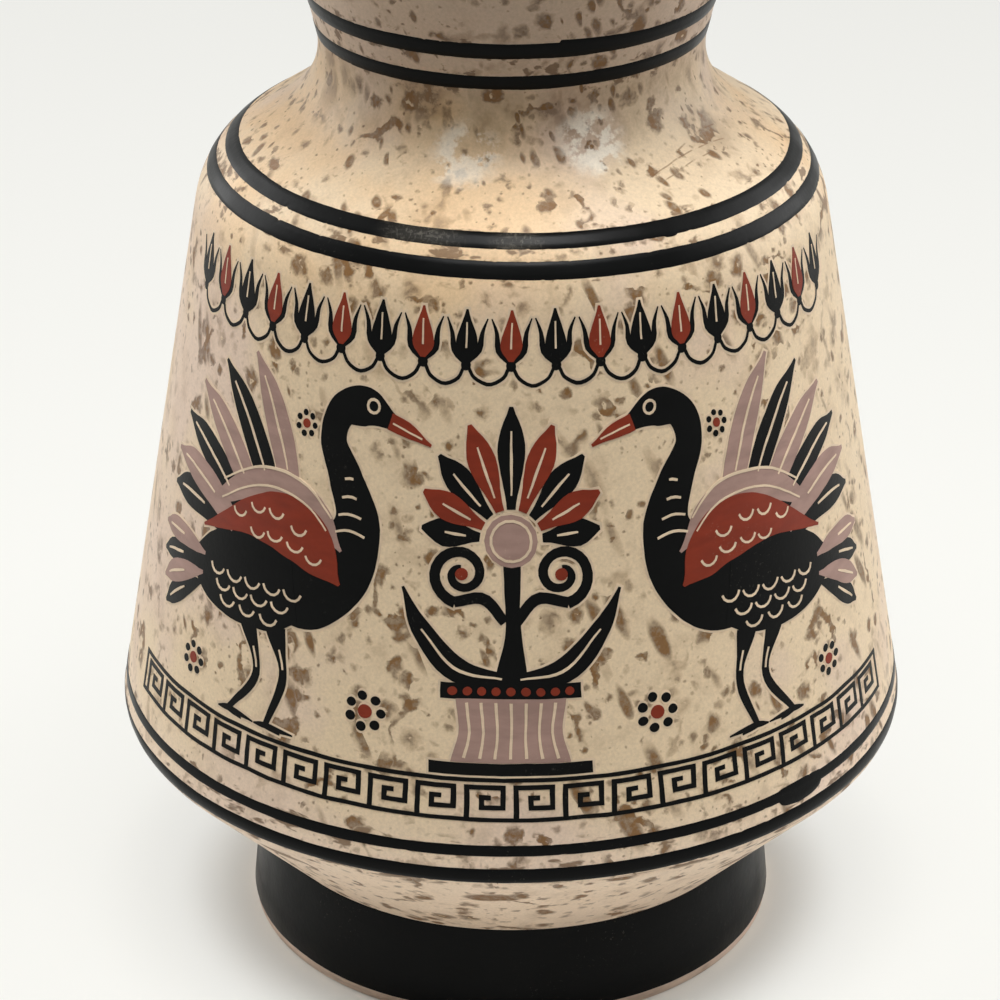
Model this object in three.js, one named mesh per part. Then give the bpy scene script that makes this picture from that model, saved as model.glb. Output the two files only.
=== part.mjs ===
// Wheel-thrown terracotta vase: a low flared foot, a bowl that turns in at a sharp carination, a conical belly,
// a sloping shoulder and a neck that flares into the mouth. Its sections are luted together with clay slip, and
// black bands lie in shallow turned grooves around it.
// Millimetres, +Z up, origin at the centre of the resting plane, front of the vase towards -Y.
import * as THREE from "three";

// Heights of the stages, one on top of the other. Stages are measured where their outsides would meet sharp.
// The neck fills what is left of the total.
const TOTAL_HEIGHT = 220;
const FOOT_HEIGHT = 18.9;
const BOWL_RISE = 25.8;            // from the foot to the carination, the widest edge
const BELLY_RISE = 106.4;          // from the carination to the edge of the shoulder
const SHOULDER_RISE = 15;          // from the edge of the shoulder to the root of the neck
const MOUTH_RISE = 18;             // from the top of the neck, where it turns out, to the top of the lip

// Outside radii at the same places.
const FOOT_BASE_RADIUS = 49.9;
const FOOT_TOP_RADIUS = 48.2;
const CARINATION_RADIUS = 73.5;
const SHOULDER_RADIUS = 54.75;
const NECK_ROOT_RADIUS = 31.95;
const NECK_TOP_RADIUS = 40.75;
const MOUTH_RADIUS = 48;           // to the middle of the rounded lip

// Roundings of the outside and of the hollow.
const CARINATION_ROUNDING = 5;
const SHOULDER_ROUNDING = 18.5;
const NECK_ROUNDING = 13.5;
const MOUTH_ROUNDING = 26;
const HOLLOW_ROUNDING = 10;

// The foot ring.
const FOOT_BARE_EDGE = 2.3;        // height of the bare clay edge that the vase stands on
const FOOT_EDGE_BEVEL = 0.4;
const FOOT_STANDING_WIDTH = 9;
const FOOT_SEAT_WIDTH = 13;

// Wall, joints and paint.
const WALL = 5;
const FLOOR = 6.5;
const SLIP = 0.5;                  // thickness of the slip in a luted joint
const PAINT = 0.3;                 // thickness of the paint, and depth of the groove that it fills

// Seams between the luted sections, from the edge or root that each one follows.
const CARINATION_SEAM_ABOVE_EDGE = 4;
const SHOULDER_SEAM_BELOW_EDGE = 3.2;
const NECK_SEAM_ABOVE_ROOT = 5.6;

// Heights of the painted bands, and of the clay left bare before each one, counted away from its seam.
const LOWER_WIDE_BARE = 0.6;
const LOWER_WIDE_BAND = 2.9;
const LOWER_NARROW_BARE = 1.2;
const LOWER_NARROW_BAND = 1.95;
const SHOULDER_WIDE_BARE = 1;
const SHOULDER_WIDE_BAND = 2.55;
const SHOULDER_NARROW_BARE = 1.65;
const SHOULDER_NARROW_BAND = 2;
const NECK_NARROW_BARE = 2.9;
const NECK_NARROW_BAND = 2.55;
const NECK_WIDE_BARE = 3.2;
const NECK_WIDE_BAND = 2.8;

const BANDS_BELOW_CARINATION = [
  { name: "lower_band_wide", bare: LOWER_WIDE_BARE, width: LOWER_WIDE_BAND },
];
const BANDS_ABOVE_CARINATION = [
  { name: "lower_band_narrow", bare: LOWER_NARROW_BARE, width: LOWER_NARROW_BAND },
];
const BANDS_ON_SHOULDER = [
  { name: "shoulder_band_wide", bare: SHOULDER_WIDE_BARE, width: SHOULDER_WIDE_BAND },
  { name: "shoulder_band_narrow", bare: SHOULDER_NARROW_BARE, width: SHOULDER_NARROW_BAND },
];
const BANDS_ON_NECK = [
  { name: "neck_band_narrow", bare: NECK_NARROW_BARE, width: NECK_NARROW_BAND },
  { name: "neck_band_wide", bare: NECK_WIDE_BARE, width: NECK_WIDE_BAND },
];

// Fineness of the faceting.
const SIDES = 52;
const ARC_STEPS = 4;
const HOLLOW_ARC_STEPS = 3;
const LIP_STEPS = 8;
const LEAST_EDGE = 0.3;            // profile points nearer than this to a cut are left out

const PAINTED_CLAY = { color: 0xd8c0a2, roughness: 0.55, metalness: 0 };
const BARE_CLAY = { color: 0xc89a7c, roughness: 0.85, metalness: 0 };
const BLACK = { color: 0x17181a, roughness: 0.4, metalness: 0 };

const CARINATION_HEIGHT = FOOT_HEIGHT + BOWL_RISE;
const SHOULDER_HEIGHT = CARINATION_HEIGHT + BELLY_RISE;
const NECK_ROOT_HEIGHT = SHOULDER_HEIGHT + SHOULDER_RISE;
const CARINATION_SEAM = CARINATION_HEIGHT + CARINATION_SEAM_ABOVE_EDGE;
const SHOULDER_SEAM = SHOULDER_HEIGHT - SHOULDER_SEAM_BELOW_EDGE;
const NECK_SEAM = NECK_ROOT_HEIGHT + NECK_SEAM_ABOVE_ROOT;

const point = (radius, height) => new THREE.Vector2(radius, height);

// Arc that replaces the corner at b of the line a, b, c.
function rounded(a, b, c, radius, steps) {
  const toA = a.clone().sub(b).normalize();
  const toC = c.clone().sub(b).normalize();
  const half = Math.acos(toA.dot(toC)) / 2;
  const centre = toA.clone().add(toC).normalize().multiplyScalar(radius / Math.sin(half)).add(b);
  const reach = radius / Math.tan(half);
  const start = b.clone().addScaledVector(toA, reach).sub(centre);
  const end = b.clone().addScaledVector(toC, reach).sub(centre);
  const sweep = Math.atan2(start.cross(end), start.dot(end));
  const arc = [];
  for (let step = 0; step <= steps; step++)
    arc.push(start.clone().rotateAround(point(0, 0), (sweep * step) / steps).add(centre));
  return arc;
}

// Line through the corners with every inner corner rounded.
function softened(corners, roundings, steps) {
  const arcs = roundings.map((radius, i) => rounded(corners[i], corners[i + 1], corners[i + 2], radius, steps));
  return [corners[0], ...arcs.flat(), corners[corners.length - 1]];
}

// Where the line through p with one flare meets the line through q with another.
function meeting(p, pFlare, q, qFlare) {
  const height = (q.x - p.x + pFlare * p.y - qFlare * q.y) / (pFlare - qFlare);
  return point(p.x + pFlare * (height - p.y), height);
}

// Corners moved towards the axis, square to the line between them.
function movedIn(corners, distance) {
  const flare = (i) => (corners[i + 1].x - corners[i].x) / (corners[i + 1].y - corners[i].y);
  const shifted = (i, j) => {
    const across = Math.hypot(1, flare(i));
    return point(corners[j].x - distance / across, corners[j].y + (distance * flare(i)) / across);
  };
  const last = corners.length - 1;
  return corners.map((_, i) => {
    if (i === 0) return shifted(0, 0);
    if (i === last) return shifted(last - 1, last);
    return meeting(shifted(i - 1, i), flare(i - 1), shifted(i, i), flare(i));
  });
}

function radiusAt(line, height) {
  const i = line.findIndex((p) => p.y >= height);
  if (i <= 0) return line.at(i).x;
  const [a, b] = [line[i - 1], line[i]];
  return a.x + ((b.x - a.x) * (height - a.y)) / (b.y - a.y);
}

// The part of a line from one height up to another, with a point on each cut.
function between(line, low, high) {
  const within = line.filter((p) => p.y > low + LEAST_EDGE && p.y < high - LEAST_EDGE);
  return [point(radiusAt(line, low), low), ...within, point(radiusAt(line, high), high)];
}

// The mouth's outside leaves the top of the neck and touches the lip's round edge.
const neckTop = point(NECK_TOP_RADIUS, TOTAL_HEIGHT - MOUTH_RISE);
const lipMiddle = point(MOUTH_RADIUS, TOTAL_HEIGHT - WALL / 2);
const toLip = lipMiddle.clone().sub(neckTop);
const lean = Math.atan2(toLip.x, toLip.y) + Math.asin(WALL / 2 / toLip.length());
const lipOutside = point(Math.cos(lean), -Math.sin(lean)).multiplyScalar(WALL / 2).add(lipMiddle);
const corners = [
  point(FOOT_TOP_RADIUS, FOOT_HEIGHT),
  point(CARINATION_RADIUS, CARINATION_HEIGHT),
  point(SHOULDER_RADIUS, SHOULDER_HEIGHT),
  point(NECK_ROOT_RADIUS, NECK_ROOT_HEIGHT),
  neckTop,
  lipOutside,
];
const roundings = [CARINATION_ROUNDING, SHOULDER_ROUNDING, NECK_ROUNDING, MOUTH_ROUNDING];
const outside = softened(corners, roundings, ARC_STEPS);
const grooveBottom = softened(movedIn(corners, PAINT), roundings, ARC_STEPS);

// The hollow starts on the axis, at the top of the floor.
const floorTop = FOOT_HEIGHT + FLOOR;
const hollowCorners = movedIn(corners, WALL);
hollowCorners[0] = point(radiusAt(hollowCorners, floorTop), floorTop);
const hollow = softened(
  [point(0, floorTop), ...hollowCorners],
  [HOLLOW_ROUNDING, HOLLOW_ROUNDING, HOLLOW_ROUNDING, HOLLOW_ROUNDING, MOUTH_ROUNDING],
  HOLLOW_ARC_STEPS,
);

const vase = new THREE.Group();

function addRevolved(name, profile, look) {
  const geometry = new THREE.LatheGeometry(profile, SIDES);
  geometry.rotateX(Math.PI / 2);
  const mesh = new THREE.Mesh(geometry, new THREE.MeshStandardMaterial(look));
  mesh.name = name;
  vase.add(mesh);
}

// Low and high edge of each band, from the seam that they are counted from.
function placed(bands, seam, direction) {
  let from = seam;
  return bands.map(({ name, bare, width }) => {
    const near = from + direction * bare;
    from = near + direction * width;
    return { name, low: Math.min(near, from), high: Math.max(near, from) };
  });
}

// The outside from one height to another, with a groove for each band.
function groovedOutside(low, high, bands) {
  let line = between(outside, low, high);
  for (const band of bands) {
    line = [
      ...line.filter((p) => p.y < band.low - LEAST_EDGE),
      point(radiusAt(outside, band.low), band.low),
      ...between(grooveBottom, band.low, band.high),
      point(radiusAt(outside, band.high), band.high),
      ...line.filter((p) => p.y > band.high + LEAST_EDGE),
    ];
  }
  return line;
}

function addBands(bands) {
  for (const { name, low, high } of bands) {
    const outer = between(outside, low, high);
    const inner = between(grooveBottom, low, high).reverse();
    addRevolved(name, [...outer, ...inner, outer[0]], BLACK);
  }
}

// A ring of the wall between two heights.
function addRing(name, low, high, bands, look) {
  const outer = groovedOutside(low, high, bands);
  const inner = between(hollow, low, high).reverse();
  addRevolved(name, [...outer, ...inner, outer[0]], look);
}

function addFoot() {
  const top = FOOT_HEIGHT - SLIP;
  const standing = FOOT_BASE_RADIUS - FOOT_EDGE_BEVEL;
  const inside = standing - FOOT_STANDING_WIDTH;
  const seatInside = FOOT_TOP_RADIUS - FOOT_SEAT_WIDTH;
  addRevolved("foot_ring", [
    point(inside, 0),
    point(standing, 0),
    point(FOOT_BASE_RADIUS, FOOT_BARE_EDGE),
    point(FOOT_BASE_RADIUS - PAINT, FOOT_BARE_EDGE),
    point(FOOT_TOP_RADIUS - PAINT, top),
    point(seatInside, top),
    point(inside, 0),
  ], BARE_CLAY);
  addRevolved("foot_paint", [
    point(FOOT_BASE_RADIUS - PAINT, FOOT_BARE_EDGE),
    point(FOOT_BASE_RADIUS, FOOT_BARE_EDGE),
    point(FOOT_TOP_RADIUS, top),
    point(FOOT_TOP_RADIUS - PAINT, top),
    point(FOOT_BASE_RADIUS - PAINT, FOOT_BARE_EDGE),
  ], BLACK);
  addRevolved("foot_slip", [
    point(seatInside, top),
    point(FOOT_TOP_RADIUS, top),
    point(FOOT_TOP_RADIUS, FOOT_HEIGHT),
    point(seatInside, FOOT_HEIGHT),
    point(seatInside, top),
  ], BARE_CLAY);
}

function addBowl() {
  const top = CARINATION_SEAM - SLIP;
  const bands = placed(BANDS_BELOW_CARINATION, top, -1);
  const inner = [...hollow.filter((p) => p.y < top - LEAST_EDGE), point(radiusAt(hollow, top), top)].reverse();
  const outer = groovedOutside(FOOT_HEIGHT, top, bands);
  addRevolved("lower_bowl", [point(0, FOOT_HEIGHT), ...outer, ...inner], PAINTED_CLAY);
  addBands(bands);
}

// A section of the wall that stands on the slip of its lower seam.
function addSection(name, seam, nextSeam, bandList) {
  const bands = placed(bandList, seam, 1);
  addRing(name, seam, nextSeam - SLIP, bands, PAINTED_CLAY);
  addBands(bands);
}

function addNeck() {
  const bands = placed(BANDS_ON_NECK, NECK_SEAM, 1);
  const outer = groovedOutside(NECK_SEAM, lipOutside.y, bands);
  const lip = [];
  for (let step = 1; step < LIP_STEPS; step++)
    lip.push(lipOutside.clone().rotateAround(lipMiddle, (Math.PI * step) / LIP_STEPS));
  const inner = between(hollow, NECK_SEAM, hollow.at(-1).y).reverse();
  addRevolved("neck", [...outer, ...lip, ...inner, outer[0]], PAINTED_CLAY);
  addBands(bands);
}

addFoot();
addBowl();
addSection("belly_wall", CARINATION_SEAM, SHOULDER_SEAM, BANDS_ABOVE_CARINATION);
addSection("shoulder", SHOULDER_SEAM, NECK_SEAM, BANDS_ON_SHOULDER);
addNeck();
addRing("carination_slip", CARINATION_SEAM - SLIP, CARINATION_SEAM, [], BARE_CLAY);
addRing("shoulder_slip", SHOULDER_SEAM - SLIP, SHOULDER_SEAM, [], BARE_CLAY);
addRing("neck_slip", NECK_SEAM - SLIP, NECK_SEAM, [], BARE_CLAY);

export default vase;
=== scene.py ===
import math

import bpy
import numpy as np
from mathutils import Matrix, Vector, noise


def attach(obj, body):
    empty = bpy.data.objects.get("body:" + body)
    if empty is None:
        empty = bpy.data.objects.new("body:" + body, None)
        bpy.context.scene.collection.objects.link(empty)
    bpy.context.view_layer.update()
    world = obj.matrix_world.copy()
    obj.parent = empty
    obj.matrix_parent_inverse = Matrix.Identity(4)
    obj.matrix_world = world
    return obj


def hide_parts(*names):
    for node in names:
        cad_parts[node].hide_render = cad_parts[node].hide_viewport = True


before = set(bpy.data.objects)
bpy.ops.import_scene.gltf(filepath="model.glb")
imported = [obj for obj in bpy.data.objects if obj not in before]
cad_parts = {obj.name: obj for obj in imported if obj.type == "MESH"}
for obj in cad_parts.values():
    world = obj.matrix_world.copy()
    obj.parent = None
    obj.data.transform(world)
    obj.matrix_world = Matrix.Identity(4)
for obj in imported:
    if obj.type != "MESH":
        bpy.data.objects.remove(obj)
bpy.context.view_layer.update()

# Everything is worked out in millimetres in the frame of the CAD, with the front towards -Y, and turned
# into metres when a mesh is made. An azimuth is counted from the front towards +X.
MM = 0.001

# The outside of the vase, as in its CAD source.
FOOT_HEIGHT = 18.9
FOOT_TOP_RADIUS = 48.2
FOOT_BASE_RADIUS = 49.9
FOOT_BARE_EDGE = 2.3
FOOT_EDGE_BEVEL = 0.4
FOOT_STANDING_WIDTH = 9
FOOT_SEAT_WIDTH = 13
WALL = 5
FLOOR_THICKNESS = 6.5
LIP_MIDDLE = (48, 217.5)
CARINATION_SEAM = 48.7
SHOULDER_SEAM = 147.9
NECK_SEAM = 171.7
STATIONS = [
    (FOOT_TOP_RADIUS, FOOT_HEIGHT), (73.5, 44.7), (54.75, 151.1), (31.95, 166.1), (40.75, 202),
]
ROUNDINGS = [5, 18.5, 13.5, 26]
HOLLOW_ROUNDINGS = [10, 10, 10, 10, 26]

# Lower and upper edge of each black band. The bands lie in pairs, and each pair is stained from its lowest
# edge to its highest.
BANDS = {
    "lower_band_wide": (44.7, 47.6), "lower_band_narrow": (49.9, 51.85),
    "shoulder_band_wide": (148.9, 151.45), "shoulder_band_narrow": (153.1, 155.1),
    "neck_band_narrow": (174.6, 177.15), "neck_band_wide": (180.35, 183.15),
}
band_edges = list(BANDS.values())
BAND_PAIRS = [(first[0], second[1]) for first, second in zip(band_edges[::2], band_edges[1::2])]

# How deep the coat runs into the mouth, how far the ground lies under the surface of the CAD solids, and
# how far the films stand over the ground. Strokes that follow each other in a layer differ by a level.
INNER_COAT = 26
GROUND_INSET = 0.09
SUNK = -0.12
BAND_LIFT = 0.07
LIFTS = {"underprint": 0.03, "black": 0.07, "mauve": 0.105, "red": 0.135, "lines": 0.17}
LEVELS = 9
LEVEL_STEP = 0.003

# How fine the meshes are: points round a section of the wall and round a band, and steps along a profile.
SIDES = 288
BAND_SIDES = 720
OUTSIDE_STEP = 0.8
HOLLOW_STEP = 3
LIP_STEPS = 24
AXIS_RADIUS = 0.05


def rounded(a, b, c, radius, steps=20):
    """Arc that replaces the corner at b of the line a, b, c."""
    to_a, to_c = (a - b).normalized(), (c - b).normalized()
    half = math.acos(max(-1, min(1, to_a.dot(to_c)))) / 2
    centre = b + (to_a + to_c).normalized() * (radius / math.sin(half))
    reach = radius / math.tan(half)
    start, end = b + to_a * reach - centre, b + to_c * reach - centre
    sweep = math.atan2(start.x * end.y - start.y * end.x, start.dot(end))
    arc = []
    for step in range(steps + 1):
        turn = sweep * step / steps
        cos, sin = math.cos(turn), math.sin(turn)
        arc.append(centre + Vector((start.x * cos - start.y * sin, start.x * sin + start.y * cos)))
    return arc


def softened(corners, radii):
    line = [corners[0]]
    for i, radius in enumerate(radii):
        line += rounded(corners[i], corners[i + 1], corners[i + 2], radius)
    return line + [corners[-1]]


def moved_in(corners, distance):
    """Corners moved towards the axis, square to the line between them."""
    shifted = []
    for a, b in zip(corners, corners[1:]):
        along = (b - a).normalized()
        shift = Vector((-along.y, along.x)) * distance
        shifted.append((a + shift, b + shift))
    moved = [shifted[0][0]]
    for (a, b), (c, d) in zip(shifted, shifted[1:]):
        first, second = b - a, d - c
        t = ((c.x - a.x) * second.y - (c.y - a.y) * second.x) / (first.x * second.y - first.y * second.x)
        moved.append(a + first * t)
    return moved + [shifted[-1][1]]


def resampled(line, spacing):
    points = [line[0]]
    for a, b in zip(line, line[1:]):
        count = max(1, math.ceil((b - a).length / spacing))
        points += [a.lerp(b, k / count) for k in range(1, count + 1)]
    return points


def lip_tangent():
    """Where the outside of the mouth touches the round edge of the lip."""
    middle, start = Vector(LIP_MIDDLE), Vector(STATIONS[-1])
    to_lip = middle - start
    lean = math.atan2(to_lip.x, to_lip.y) + math.asin(WALL / 2 / to_lip.length)
    return middle + Vector((math.cos(lean), -math.sin(lean))) * (WALL / 2)


corners = [Vector(p) for p in STATIONS] + [lip_tangent()]
outside = resampled(softened(moved_in(corners, GROUND_INSET), ROUNDINGS), OUTSIDE_STEP)
hollow_corners = moved_in(corners, WALL)
floor_top = FOOT_HEIGHT + FLOOR_THICKNESS
share = (floor_top - hollow_corners[0].y) / (hollow_corners[1].y - hollow_corners[0].y)
hollow_corners[0] = hollow_corners[0].lerp(hollow_corners[1], share)
hollow_corners.insert(0, Vector((AXIS_RADIUS, floor_top)))
hollow = resampled(softened(hollow_corners, HOLLOW_ROUNDINGS), HOLLOW_STEP)

RADII = np.array([p.x for p in outside])
HEIGHTS = np.array([p.y for p in outside])
RUNS = np.concatenate([[0], np.cumsum(np.hypot(np.diff(RADII), np.diff(HEIGHTS)))])
UP = np.gradient(HEIGHTS, RUNS)
OUT = np.gradient(RADII, RUNS)


def run_at(height):
    """Distance along the outside, from the top of the foot, to a height."""
    return float(np.interp(height, HEIGHTS, RUNS))


def turned(azimuth, radius, height):
    """Point at an azimuth, in metres."""
    return (radius * math.sin(azimuth) * MM, -radius * math.cos(azimuth) * MM, height * MM)


def on_wall(azimuth, run, lift=0.0):
    """Point over the outside at an azimuth and a distance along it."""
    radius = np.interp(run, RUNS, RADII) + lift * np.interp(run, RUNS, UP)
    height = np.interp(run, RUNS, HEIGHTS) - lift * np.interp(run, RUNS, OUT)
    return turned(azimuth, radius, height)


def piece(name, points, faces, material, slot, *nodes, sharp=35):
    mesh = bpy.data.meshes.new(name)
    mesh.from_pydata(points, [], faces)
    mesh.validate()
    mesh.shade_smooth()
    mesh.set_sharp_from_angle(angle=math.radians(sharp))
    mesh.materials.append(material)
    made = bpy.data.objects.new(name, mesh)
    bpy.context.scene.collection.objects.link(made)
    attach(made, "root")
    if nodes:
        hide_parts(*nodes)
    return made


def ring_faces(count, sides, closed=True):
    """Faces between the copies of a profile of count points that stand round the axis."""
    faces = []
    for k in range(sides):
        here, there = k * count, (k + 1) % sides * count
        for i in range(count if closed else count - 1):
            j = (i + 1) % count
            faces.append((here + i, there + i, there + j, here + j))
    return faces


def revolved(name, profile, material, slot, *nodes, runs=None, coats=None):
    """Closed ring or bowl from a closed profile of points (radius, height). A profile that starts and ends
    beside the axis is closed there."""
    points = []
    for k in range(SIDES):
        points += [turned(2 * math.pi * k / SIDES, p.x, p.y) for p in profile]
    count = len(profile)
    on_axis = profile[0].x < 2 * AXIS_RADIUS
    faces = ring_faces(count, SIDES, closed=not on_axis)
    if on_axis:
        faces.append([k * count for k in range(SIDES)][::-1])
        faces.append([k * count + count - 1 for k in range(SIDES)])
    made = piece(name, points, faces, material, slot, *nodes)
    for label, values in (("meridian", runs), ("coat", coats)):
        if values is not None:
            attribute = made.data.attributes.new(label, "FLOAT", "POINT")
            attribute.data.foreach_set("value", np.tile(values, SIDES))


class Surface:
    """A node material. Places and sizes in it are in millimetres."""

    def __init__(self, name):
        self.material = bpy.data.materials.new(name)
        self.material.use_nodes = True
        self.tree = self.material.node_tree
        self.shader = self.tree.nodes["Principled BSDF"]

    def feed(self, socket, value):
        if isinstance(value, bpy.types.NodeSocket):
            self.tree.links.new(value, socket)
        else:
            socket.default_value = value

    def add(self, kind, inputs, output=0, **settings):
        node = self.tree.nodes.new("ShaderNode" + kind)
        for name, value in settings.items():
            setattr(node, name, value)
        for key, value in inputs.items():
            self.feed(node.inputs[key], value)
        return node.outputs[output]

    def set(self, **values):
        for name, value in values.items():
            self.feed(self.shader.inputs[name.replace("_", " ")], value)

    def place(self):
        return self.vector("SCALE", self.add("TexCoord", {}, "Object"), scale=1 / MM)

    def attribute(self, name):
        return self.add("Attribute", {}, "Fac", attribute_name=name)

    def math(self, operation, a, b=0.0, clamp=False):
        return self.add("Math", {0: a, 1: b}, operation=operation, use_clamp=clamp)

    def vector(self, operation, a, b=(0, 0, 0), c=(0, 0, 0), scale=1.0):
        inputs = {0: a, "Scale": scale} if operation == "SCALE" else {0: a, 1: b, 2: c}
        return self.add("VectorMath", inputs, operation=operation)

    def stretched(self, run, scale, across):
        """Place made from the distance along the outside, times a scale, and a place across it."""
        return self.vector("MULTIPLY_ADD", self.add("CombineXYZ", {2: run}), (0, 0, scale), across)

    def noise(self, place, size, detail=2.0, roughness=0.5, output="Fac"):
        inputs = {"Vector": place, "Scale": 1 / size, "Detail": detail, "Roughness": roughness}
        return self.add("TexNoise", inputs, output)

    def warped(self, place, size, amount, detail=2.0):
        wobble = self.noise(place, size, detail, output="Color")
        return self.vector("MULTIPLY_ADD", wobble, (amount,) * 3, place)

    def smooth(self, value, low, high, to_low=0.0, to_high=1.0):
        inputs = {0: value, 1: low, 2: high, 3: to_low, 4: to_high}
        return self.add("MapRange", inputs, interpolation_type="SMOOTHSTEP")

    def mix(self, factor, a, b, blend="MIX"):
        inputs = {0: factor, 6: a, 7: b}
        return self.add("Mix", inputs, 2, data_type="RGBA", blend_type=blend)

    def spots(self, place, cell, biggest, share, soft):
        """Soft spots, at most one for each cell, in a share of the cells. Also the distance to the middle
        of each, and the draw that decides how big it is."""
        node = self.add("TexVoronoi", {"Vector": place, "Scale": 1 / cell}, "Distance").node
        distance = self.math("MULTIPLY", node.outputs["Distance"], cell)
        chance = self.add("SeparateColor", {0: node.outputs["Color"]})
        radius = self.add("MapRange", {0: chance, 1: 1 - share, 2: 1.0, 3: 0.0, 4: biggest})
        inside = self.math("SUBTRACT", radius, distance)
        fade = self.math("ADD", self.math("MULTIPLY", radius, soft), 0.12)
        return self.math("DIVIDE", inside, fade, clamp=True), distance, chance

    def away(self, place, centre):
        """Distance from a centre."""
        return self.add("VectorMath", {0: place, 1: centre}, "Value", operation="DISTANCE")

    def off_line(self, place, a, b):
        """Distance from the straight line between two places."""
        along = Vector(b) - Vector(a)
        here = self.vector("SUBTRACT", place, a)
        inputs = {0: here, 1: along / along.length_squared}
        share = self.add("VectorMath", inputs, "Value", operation="DOT_PRODUCT")
        share = self.math("ADD", share, 0.0, clamp=True)
        return self.away(here, self.add("VectorMath", {0: along, "Scale": share}, operation="SCALE"))

    def bump(self, height, distance, normal=None):
        inputs = {"Strength": 1.0, "Distance": distance * MM, "Height": height}
        if normal is not None:
            inputs["Normal"] = normal
        return self.add("Bump", inputs)


def linear(level):
    """Share of the light for a screen value."""
    level = level / 255
    return level / 12.92 if level <= 0.04045 else ((level + 0.055) / 1.055) ** 2.4


def colour(red, green, blue):
    """A colour from its screen values."""
    return (linear(red), linear(green), linear(blue), 1.0)


CREAM = colour(226, 203, 170)
GOLD = colour(225, 191, 147)
PINK = colour(217, 192, 176)
# Darker pink for the painted shade that the mouth casts on the neck.
NECK_SHADE_PINK = colour(200, 176, 156)
# Paler pink for the underside: its pink tone, with painted light from the floor.
LOW_PINK_AND_LIGHT = colour(236, 213, 191)
BROWN = colour(122, 84, 40)
DARK_BROWN = colour(84, 54, 22)
CLAY = colour(232, 208, 190)
CLAY_STAIN = colour(140, 108, 84)
CHALK = colour(252, 243, 226)
BLACK = colour(7, 8, 8)
# Grey of worn black paint, also used for the painted sheen on the shoulder band.
WORN_AND_SHEEN_GREY = colour(96, 92, 84)
RED = colour(124, 44, 24)
MAUVE = colour(158, 129, 119)
LINES = colour(214, 192, 164)

# Places of the marks that lie in one spot only. Each smear, scuff and scrape is a centre, how far it
# reaches, and its weight or, for a scrape, the height that it lies over. The scratches run between points
# seen from above. The noise that tears a mark's edge also shifts the mark.
# The middle of a golden patch on the front of the shoulder under the neck, a painted warm shade.
WARM_SHADE_CENTRE = (-3, -44, 158)
PALE_SIDE = (33, -30, 160)
SMEARS = [
    ((-14.4, -30.5, 172), 4.0, 0.9), ((-0.5, -33, 172), 3.0, 0.6), ((5.5, -33, 171.5), 2.6, 0.75),
    ((11.5, -32, 171.5), 2.6, 0.5), ((33, -19, 161.5), 7.5, 0.42), ((8, 33, 171), 4, 0.8),
]
SCUFFS = [((-8, -36, 163.5), 6, 0.75), ((13.5, -33.5, 165), 6, 1.0)]
SCRATCHES = [
    ((23.7, -34.3), (36.6, -18.1)), ((25.6, -34.5), (34.1, -23.6)), ((28.1, -27.4), (34.6, -16.2)),
]
# The grey scrapes on the narrow shoulder band are scratched wear and also a painted sheen.
SCRAPES_AND_SHEEN = [((-15.5, -49.5, 154), 9.5, 151.8), ((1, -51.5, 154), 6, 151.8)]
SMEAR_SHIFT = Vector((5.8, 5.8, 5.8))
SCUFF_SHIFT = Vector((3, 3, 3))


def ground_tint(s, run, warped, clouds):
    """Cream with golden and pink clouds, a golden painted shade under the neck, and a darker pink painted
    shade on the neck. Towards the foot it is pinker, and paler with painted light from the floor.
    """
    gold_clouds_and_shade = s.math("MULTIPLY", s.smooth(clouds, 0.42, 0.66), s.smooth(run, run_at(120), run_at(155)))
    gold_clouds_and_shade = s.math("MULTIPLY", gold_clouds_and_shade, s.smooth(s.away(warped, PALE_SIDE), 14, 34))
    # A golden patch under the neck on the front: painted warm shade. The golden clouds above are tone.
    gold_clouds_and_shade = s.math("MAXIMUM", gold_clouds_and_shade, s.smooth(s.away(warped, WARM_SHADE_CENTRE), 24, 6))
    tint = s.mix(s.math("MULTIPLY", gold_clouds_and_shade, 0.85), CREAM, GOLD)
    rosy = s.smooth(s.noise(warped, 34, 2.0), 0.5, 0.68)
    rosy = s.math("MULTIPLY", rosy, s.math("SUBTRACT", 1.0, s.math("MULTIPLY", gold_clouds_and_shade, 0.75)))
    tint = s.mix(s.math("MULTIPLY", rosy, 0.7), tint, PINK)
    # Darker pink towards the neck: painted shade under the mouth.
    high = s.smooth(run, run_at(168), run_at(180))
    tint = s.mix(s.math("MULTIPLY", high, 0.85), tint, NECK_SHADE_PINK)
    # Paler and pinker towards the foot: pink tone, with painted light from the floor on the underside.
    low = s.smooth(run, run_at(60), run_at(42))
    return s.mix(s.math("MULTIPLY", low, 0.85), tint, LOW_PINK_AND_LIGHT)


def streaks(s, run, around, below):
    """Streaks up the wall that lean to the right, shorter on the shoulder, and along the rim below it."""
    leant = {"Vector": around, "Angle": s.math("MULTIPLY", run, 0.006)}
    leant = s.add("VectorRotate", leant, rotation_type="Z_AXIS")
    over_shoulder = s.math("MAXIMUM", s.math("SUBTRACT", run, run_at(151)), 0.0)
    climb = s.math("ADD", s.math("MULTIPLY", run, 0.34), s.math("MULTIPLY", over_shoulder, 0.5))
    upward = s.vector("ADD", s.add("CombineXYZ", {2: climb}), leant)
    level = s.stretched(run, 0.6, s.vector("SCALE", around, scale=0.34))
    flow = s.mix(below, upward, level)
    streak, _, _ = s.spots(s.warped(flow, 3.5, 1.8), 3.6, 1.9, 0.6, 0.55)
    return s.math("MULTIPLY", streak, s.math("ADD", s.math("MULTIPLY", below, 0.7), 1.0), clamp=True)


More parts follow.
